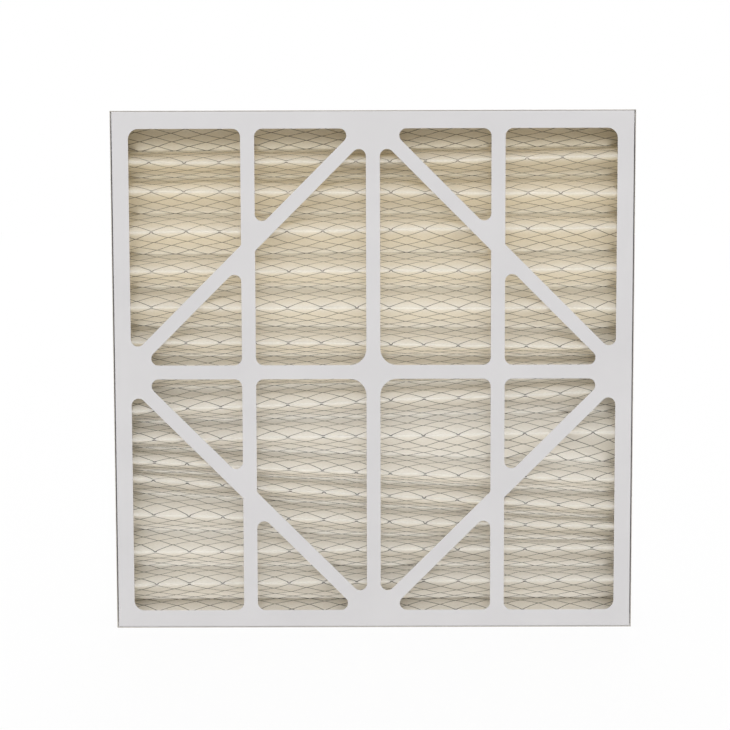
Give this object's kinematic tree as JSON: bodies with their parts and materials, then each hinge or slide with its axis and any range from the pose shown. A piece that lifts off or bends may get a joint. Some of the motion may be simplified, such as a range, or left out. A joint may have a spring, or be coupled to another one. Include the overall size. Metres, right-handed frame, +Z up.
{
  "type": "pleated panel air filter",
  "caption": "Square pleated air filter: deep cream pleats on a folded wire support grid in a two-piece board frame with die-cut diamond bars on both faces.",
  "frame": {"origin": "middle of the bottom edge, halfway through the depth", "axes": "X is the width, Y the depth with the grid side towards -Y, Z up"},
  "size_m": [0.594, 0.095, 0.594],
  "materials": {
    "board": "clay-coated, satin",
    "media": "fibrous",
    "grid": "galvanised, dull",
    "adhesive": "hardened glue"
  },
  "bodies": {
    "root": {"front_tray": "board", "rear_tray": "board", "pleated_media": "media", "support_grid": "grid", "left_seal": "adhesive", "right_seal": "adhesive", "top_bead": "adhesive", "bottom_bead": "adhesive"}
  },
  "joints": []
}
